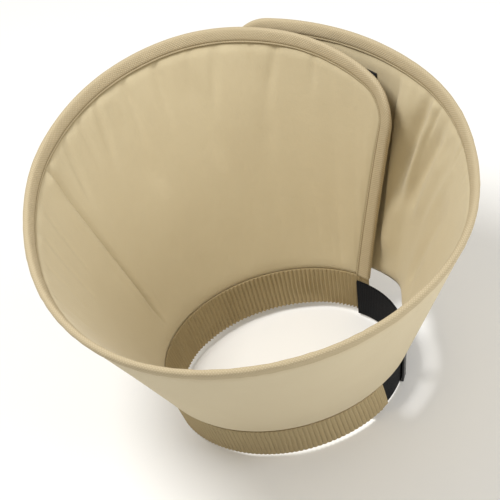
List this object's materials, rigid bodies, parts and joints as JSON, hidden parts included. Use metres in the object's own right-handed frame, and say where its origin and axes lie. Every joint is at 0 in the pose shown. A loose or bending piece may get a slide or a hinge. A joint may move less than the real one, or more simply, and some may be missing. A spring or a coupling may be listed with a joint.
{
  "type": "soft recovery cone",
  "caption": "Padded fabric sheet wrapped into an open cone with overlapping ends, a bound rim, a ribbed knit neck cuff and a black neck strap.",
  "frame": {"origin": "middle of the cone's neck edge, where the neck passes through", "axes": "+Z along the cone's axis out of the mouth, +X to the side of the overlap, -Y towards the picture's camera"},
  "size_m": [0.3646, 0.3801, 0.2655],
  "materials": {
    "padded_cloth": "light khaki brushed polyester cloth over thin foam, fine plain weave, matt",
    "binding_tape": "light khaki folded twill tape with a stitched edge, matt",
    "rib_knit": "khaki ribbed knit, matt",
    "strap_webbing": "black nylon webbing, slight sheen",
    "strap_plastic": "black moulded acetal, satin",
    "hook_tape": "black nylon hook tape",
    "loop_tape": "black nylon loop tape, fuzzy"
  },
  "bodies": {
    "root": {"cone_shell": "padded_cloth", "rim_binding": "binding_tape", "knit_cuff": "rib_knit", "neck_strap": "strap_webbing", "strap_ring": "strap_plastic", "hook_patch": "hook_tape", "loop_patch": "loop_tape"}
  },
  "joints": []
}
